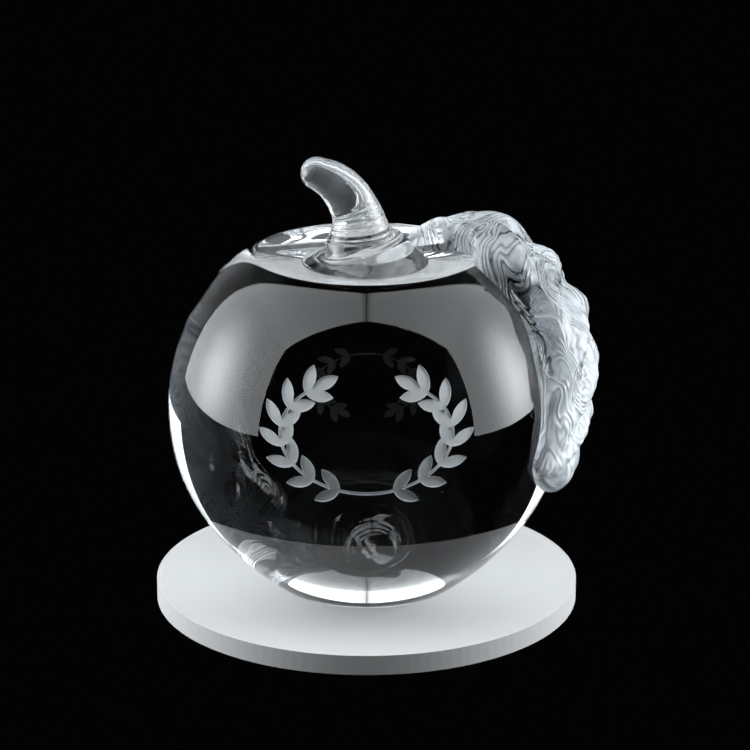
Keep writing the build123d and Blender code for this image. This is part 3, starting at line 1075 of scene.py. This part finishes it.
@dataclass
class AppleBody:
    """The apple itself: its skin, the wreath cut into it, its foot and the punt below."""

    outline: Outline
    stem: Stem
    leaf: Leaf
    wreath: Wreath
    rows: int = 150
    foot_round: float = 0.9
    foot_round_rise: float = 0.06
    foot_inner_radius: float = 14.5
    foot_flat_rows: int = 6
    punt_depth: float = 3.2
    punt_shoulder: tuple[float, float] = (0.72, 0.75)
    punt_floor: float = 0.4
    foot_rows: int = 10
    punt_rows: int = 40
    wreath_depth: float = 0.3
    unrolled_radius: float = 36.0
    keep_clear: float = 0.3

    def unroll(self, distance: Array, azimuth: Array) -> Array:
        """Places on the skin as flat coordinates in millimetres."""
        return np.stack([azimuth * self.unrolled_radius, distance], -1)

    def lay_out(self) -> None:
        """Divides the unrolled skin into triangles that keep to every outline on it.

        The flat points come in named groups. Once the skin is cut, the right edge is
        numbered as the left one, so that the seam is closed.
        """
        stem = self.stem
        bottom = self.outline.distances[-1] - self.foot_round
        share = np.linspace(0.0, 1.0, self.rows)[1:, None]
        edge = stem.seat_distance[None]
        distance = edge + (bottom - edge) * share
        free = self.unroll(distance, np.broadcast_to(stem.azimuth[None], distance.shape))
        seat = self.unroll(stem.seat_distance, stem.azimuth)
        rim = self.unroll(*self.leaf.rim()[1:])
        wreath = {
            f"wreath_{k}": self.unroll(loop[:, 0], loop[:, 1])
            for k, loop in enumerate(self.wreath.loops())
        }
        fixed = np.vstack([rim, *wreath.values()])
        inner = free[:-1, 1:-1].reshape(-1, 2)
        gap = np.full(len(inner), np.inf)
        for part in np.array_split(fixed, BATCHES):
            gap = np.minimum(gap, np.linalg.norm(inner[:, None] - part[None], axis=2).min(1))
        groups = {"seat": seat, "bottom": free[-1], "left": free[:-1, 0], "right": free[:-1, -1]}
        groups |= {"rim": rim} | wreath | {"inner": inner[gap > self.keep_clear]}
        starts = np.concatenate([[0], np.cumsum([len(g) for g in groups.values()])])
        spans = {name: np.arange(*ends) for name, *ends in zip(groups, starts, starts[1:])}

        def chain(name: str, closed: bool) -> Array:
            """Edges between the neighbours of a group's points."""
            pairs = np.stack([spans[name], np.roll(spans[name], -1)], -1)
            return pairs if closed else pairs[:-1]

        edges = [chain("seat", False), chain("bottom", False)]
        edges += [chain(name, True) for name in ("rim", *wreath)]
        flat = [Vector(p) for p in np.vstack(list(groups.values())).tolist()]
        made, _, faces, origins, _, _ = geometry.delaunay_2d_cdt(
            flat, np.vstack(edges).tolist(), [], 0, WELD_DISTANCE
        )
        self.flat = np.array([tuple(p) for p in made])
        became = np.full(len(flat), -1)
        for new, olds in enumerate(origins):
            became[olds] = new
        self.number = {name: became[span] for name, span in spans.items()}
        triangles = np.array(faces)
        centre = self.flat[triangles].mean(1)
        kept = centre[:, 1] > np.interp(centre[:, 0], seat[:, 0], seat[:, 1])
        centre = centre[kept]
        merge = np.arange(len(self.flat))
        merge[self.number["right"]] = self.number["left"]
        for ring in ("seat", "bottom"):
            merge[self.number[ring][-1]] = self.number[ring][0]
        self.triangles = merge[triangles[kept]]
        self.under_leaf = inside_loop(centre, rim)
        self.frosted = np.zeros(len(centre), bool)
        for loop in wreath.values():
            self.frosted |= inside_loop(centre, loop)
        self.seat_ring = merge[self.number["seat"][:-1]]
        self.foot_ring = merge[self.number["bottom"][:-1]]

    def under(self) -> Under:
        """The skin under the leaf, in the leaf's own numbers."""
        numbers, _, _ = self.leaf.rim()
        count = self.leaf.grid[0].size + 2
        mine = self.triangles[self.under_leaf]
        used = np.unique(mine)
        to_leaf = np.full(len(self.flat), -1)
        to_leaf[self.number["rim"]] = numbers
        new = used[to_leaf[used] < 0]
        to_leaf[new] = count + np.arange(len(new))
        return Under(
            self.flat[new, 1], self.flat[new, 0] / self.unrolled_radius, to_leaf[mine]
        )

    def base(self) -> tuple[Array, Array]:
        """Rings from the foot's rounded edge over its flat to the middle of the punt.

        Returns:
            Radii and heights of the rings, and their outward directions.
        """
        outline = self.outline
        radius, height, _, _ = outline.at(outline.distances[-1] - self.foot_round)
        corner, flat_from = outline.foot_radius, outline.foot_radius - self.foot_round
        turn = [(radius, height), (corner, self.foot_round_rise), (corner, 0.0), (flat_from, 0.0)]
        ring, depth = self.foot_inner_radius, self.punt_depth
        out, up = self.punt_shoulder
        middle = [(ring * self.punt_floor, depth), (0.0, depth)]
        punt = [(ring, 0.0), (ring * out, depth * up)] + middle
        rows = self.foot_flat_rows
        flat = np.stack([np.linspace(flat_from, ring, rows), np.zeros(rows)], -1)
        line = np.vstack(
            [
                bezier(turn, np.linspace(0, 1, self.foot_rows)),
                flat[1:-1],
                bezier(punt, np.linspace(0, 1, self.punt_rows)),
            ]
        )
        way = np.gradient(line, axis=0)
        way /= np.hypot(*way.T)[:, None]
        return line, np.stack([-way[:, 1], way[:, 0]], -1)

    def build(self, axis: Vector, materials: Sequence[Any]) -> bpy.types.Object:
        """Builds the apple's closed mesh."""
        outline = self.outline
        azimuth = self.flat[:, 0] / self.unrolled_radius
        points = outline.place(self.flat[:, 1], azimuth)
        normals = outline.normal(self.flat[:, 1], azimuth)
        seat_distance, seat_azimuth = self.stem.seat_grid()
        columns = seat_distance.shape[1]
        points[self.seat_ring] = outline.place(seat_distance[0], seat_azimuth[0])
        parts, directions = [points], [normals]
        count = len(points)

        def add(new: Array, ways: Array) -> Array:
            """Adds points with their directions, and gives their numbers."""
            nonlocal count
            parts.append(new.reshape(-1, 3))
            directions.append(ways.reshape(-1, 3))
            numbers = np.arange(count, count + new.size // 3)
            count += len(numbers)
            return numbers

        inner = seat_distance[1:], seat_azimuth[1:]
        seat = add(outline.place(*inner), outline.normal(*inner))
        middle = add(outline.place(outline.distances[:1], np.zeros(1)), np.array([[0, 0, 1.0]]))
        line, line_ways = self.base()
        around = self.stem.azimuth[None, :-1]

        def spin(pairs: Array) -> Array:
            """Rings about the axis from pairs of radius and height."""
            radius, up = pairs[:, :1], pairs[:, 1:]
            flat = np.broadcast_to(up, (len(pairs), columns))
            return np.stack([radius * np.sin(around), -radius * np.cos(around), flat], -1)

        rings = add(spin(line[1:-1]), spin(line_ways[1:-1]))
        pole = add(np.array([[0.0, 0.0, line[-1, 1]]]), np.array([[0.0, 0.0, -1.0]]))
        seat_skin = closed_rings(np.concatenate([self.seat_ring, seat]), columns, middle[0])
        base_skin = closed_rings(np.concatenate([self.foot_ring, rings]), columns, pole[0])
        cut = self.triangles[self.frosted]
        lip = np.unique(cut)
        sunk = np.full(count, -1)
        sunk[lip] = add(points[lip] - self.wreath_depth * normals[lip], normals[lip])
        all_points, all_normals = np.vstack(parts), np.vstack(directions)
        wall, wall_way = self.wreath_walls(cut, sunk, all_points)

        def skin(triangles: Array, slot: Slot) -> Skin:
            """Triangles under a slot with their points' own directions."""
            return Skin(triangles, all_normals[triangles], slot)

        skins = [
            skin(self.triangles[~(self.under_leaf | self.frosted)], Slot.CLEAR),
            skin(base_skin, Slot.CLEAR),
            skin(self.triangles[self.under_leaf], Slot.JOINT),
            skin(seat_skin, Slot.JOINT),
            skin(sunk[cut], Slot.FROST),
            Skin(wall, np.repeat(wall_way[:, None], 3, axis=1), Slot.FROST),
        ]
        return make_piece("apple_body_glass", all_points, skins, axis, materials)

    def wreath_walls(self, cut: Array, sunk: Array, points: Array) -> tuple[Array, Array]:
        """The walls round the sunk wreath.

        Args:
            cut: The triangles of the skin that the wreath takes.
            sunk: For each point of the skin, the number of its sunk copy.
            points: All the apple's points.

        Returns:
            The walls' triangles, and a direction for each that faces into the wreath.
        """
        edges = np.sort(np.vstack([cut[:, [0, 1]], cut[:, [1, 2]], cut[:, [2, 0]]]), axis=1)
        edges, times = np.unique(edges, axis=0, return_counts=True)
        edges = edges[times == 1]
        a, b = edges.T
        wall = np.vstack([np.stack([a, b, sunk[b]], -1), np.stack([a, sunk[b], sunk[a]], -1)])
        p, q, r = (points[wall[:, k]] for k in range(3))
        way = np.cross(q - p, r - p)
        way /= np.linalg.norm(way, axis=1, keepdims=True)
        inward = points[self._third_corners(cut, edges)] - (points[a] + points[b]) / 2
        way[np.sum(way * np.vstack([inward, inward]), axis=1) < 0] *= -1
        return wall, way

    @staticmethod
    def _third_corners(cut: Array, edges: Array) -> Array:
        """For each edge, the corner across from it in the triangle that it belongs to."""
        size = int(cut.max()) + 1
        keys, corners = [], []
        for i, j, k in ((0, 1, 2), (1, 2, 0), (2, 0, 1)):
            pair = np.sort(cut[:, [i, j]], axis=1)
            keys.append(pair[:, 0] * size + pair[:, 1])
            corners.append(cut[:, k])
        keys, corners = np.concatenate(keys), np.concatenate(corners)
        order = np.argsort(keys)
        wanted = edges[:, 0] * size + edges[:, 1]
        return corners[order][np.searchsorted(keys[order], wanted)]


@dataclass(frozen=True)
class Panel:
    """The shape of a soft panel: its lower and upper edges as x and height, in metres.

    The lamp behind it stands at core_at, in shares of its length and its rise, and its
    glow has those half sizes.
    """

    lower: tuple[float, float]
    upper: tuple[float, float]
    core_at: tuple[float, float]
    core_size: tuple[float, float]


WALL = Panel((0.32, 0.002), (0.30, 0.30), (0.5, 0.3), (0.2, 0.35))
ROOF = Panel((0.30, 0.30), (0.001, 0.42), (0.4, 0.0), (3.0, 0.6))


@dataclass(frozen=True)
class Softbox:
    """A flat soft panel of the light tent, which runs from front to back beside the apple.

    The side is -1 for the left and 1 for the right, and front and back are y in metres
    about the apple's foot. Brightness is the panel's own, where 1 is a white surface.
    """

    name: str
    side: float
    panel: Panel
    back: float
    brightness: float
    core: float
    slant: float = 0.0
    front: float = -0.185
    slant_sharpness: float = 20.0
    colour: tuple[float, float, float] = (0.93, 0.97, 1.0)
    dip: float = 0.42
    dip_sharpness: float = 11.0

    def hang(self, axis: Vector) -> None:
        """Hangs the panel so that it shines towards the apple."""
        (x0, z0), (x1, z1) = self.panel.lower, self.panel.upper
        x0, x1 = self.side * x0, self.side * x1
        data = bpy.data.lights.new(self.name, "AREA")
        data.shape = "RECTANGLE"
        data.size, data.size_y = self.back - self.front, math.hypot(x1 - x0, z1 - z0)
        data.energy = self.brightness * math.pi * data.size * data.size_y
        data.color = self.colour
        up = Vector((x1 - x0, 0.0, z1 - z0)).normalized()
        along = Vector((0.0, self.side, 0.0))
        middle = Vector(((x0 + x1) / 2, (self.front + self.back) / 2, (z0 + z1) / 2))
        made = bpy.data.objects.new(self.name, data)
        made.matrix_world = Matrix((along, up, along.cross(up))).transposed().to_4x4()
        made.location = axis + middle
        bpy.context.scene.collection.objects.link(made)
        self.warm(data)

    def warm(self, data: bpy.types.AreaLight) -> None:
        """Makes the panel brighter where the lamp stands behind it.

        Formula: the panel is brightness * (1 + core * exp(-d * d)), where d is the distance
        from the lamp behind it, in parts of the core's half sizes. A slanted panel ends
        earlier at its upper edge, by that share of its length, and it dims towards that
        edge, where it meets the panel of the other side.
        """
        shader = Shader(data)
        place = shader.node("ShaderNodeNewGeometry", {}, {}, "Parametric")
        u, v = shader.part(place, 0), shader.part(place, 1)
        (core_u, core_v), (size_u, size_v) = self.panel.core_at, self.panel.core_size
        off_u, off_v = (u - core_u) * (1 / size_u), (v - core_v) * (1 / size_v)
        falling = shader.math("EXPONENT", 0.0 - (off_u * off_u + off_v * off_v))
        strength = falling * self.core + 1.0
        if self.slant:
            back = u if self.side > 0 else 1.0 - u
            room = 1.0 - v * self.slant - back
            kept = shader.math("MULTIPLY", room, self.slant_sharpness, clamp=True)
            meeting = (1.0 - v, self.dip_sharpness, self.dip)
            strength = strength * (kept * shader.math("MULTIPLY_ADD", *meeting, clamp=True))
        glow = shader.node("ShaderNodeEmission", {}, {"Strength": strength})
        shader.surface(glow, "ShaderNodeOutputLight")


@dataclass
class Studio:
    """The floor, the light tent, the world and the camera."""

    elevation: float = 18.0
    distance: float = 0.62
    aim_height: float = 0.045
    pixels_per_mm: float = 4.97
    frame_pixels: int = 750
    axis_pixel: float = 366.5
    aim_pixel: float = 364.5
    sensor_mm: float = 36.0
    floor_radius: float = 0.043
    floor_depth: float = 0.004
    floor_sides: int = 128
    world_strength: float = 0.02
    softboxes: tuple[Softbox, ...] = (
        Softbox("left_wall", -1.0, WALL, 0.245, 2.8, 2.4),
        Softbox("left_roof", -1.0, ROOF, 0.26, 2.0, 0.5, 0.45),
        Softbox("right_wall", 1.0, WALL, 0.21, 2.6, 3.0),
        Softbox("right_roof", 1.0, ROOF, 0.25, 2.0, 0.4, 0.43),
    )

    def camera(self, axis: Vector) -> None:
        """Stands the camera at the photograph's angle and frames the apple as it does."""
        data = bpy.data.cameras.new("camera")
        half = self.frame_pixels / 2 / self.pixels_per_mm * MM
        data.sensor_width = self.sensor_mm
        data.lens = data.sensor_width / 2 / (half / self.distance)
        data.shift_x = (self.frame_pixels / 2 - self.axis_pixel) / self.frame_pixels
        data.shift_y = -(self.frame_pixels / 2 - self.aim_pixel) / self.frame_pixels
        turn = math.radians(self.elevation)
        back = Vector((0.0, -math.cos(turn), math.sin(turn)))
        made = bpy.data.objects.new("camera", data)
        made.location = axis + Vector((0.0, 0.0, self.aim_height)) + back * self.distance
        made.rotation_euler = (math.pi / 2 - turn, 0.0, 0.0)
        bpy.context.scene.collection.objects.link(made)
        bpy.context.scene.camera = made

    def floor(self, axis: Vector) -> None:
        """Lays the pale floor, a plain round table top under the apple."""
        bpy.ops.mesh.primitive_cylinder_add(
            vertices=self.floor_sides,
            radius=self.floor_radius,
            depth=self.floor_depth,
            location=(axis.x, axis.y, -self.floor_depth / 2),
        )
        made = bpy.context.object
        made.name = "pale_floor"
        made.data.materials.append(PaleFloorFinish().make())

    def world(self) -> None:
        """Fills the rest of the room with a little even light."""
        made = bpy.data.worlds.new("room")
        made.use_nodes = True
        made.node_tree.nodes["Background"].inputs["Strength"].default_value = self.world_strength
        bpy.context.scene.world = made

    def build(self, axis: Vector) -> None:
        """Sets up everything round the object."""
        self.camera(axis)
        for softbox in self.softboxes:
            softbox.hang(axis)
        self.floor(axis)
        self.world()
        bpy.context.scene.view_settings.view_transform = "Standard"


def main() -> None:
    """Builds the pieces in order, dresses them and reports each one."""
    low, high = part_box("apple_body")
    axis = Vector(((low.x + high.x) / 2, 0.0, 0.0))
    clear = ClearGlass(axis_x=axis.x).make()
    joint, frost = FusedJoint().make(), FrostedGlass().make()
    worked = WorkedGlass().make()
    # The stem gets a little of the same painted white light.
    drawn = WorkedGlass(
        name="drawn_crystal",
        painted_white_share=0.1,
        painted_white_change=0.5,
        painted_white_low=0.0,
        line_change=0.05,
        whorl_depth=0.00001,
    ).make()
    outline = Outline()
    stem = Stem(outline)
    leaf = Leaf(outline)
    body = AppleBody(outline, stem, leaf, Wreath(outline))
    body.lay_out()
    made = {
        "apple_body": (body.build(axis, [clear, joint, frost]), "clear_crystal"),
        "stem": (stem.build(axis, [drawn, joint]), "stem_glass"),
        "leaf": (leaf.build(body.under(), axis, [worked, joint]), "leaf_glass"),
    }
    for node, (piece, slot) in made.items():
        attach(piece, "root")
        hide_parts(node)
        log.info("%s stands for %s", piece.name, node)
    Studio().build(axis)


if __name__ == "__main__":
    main()
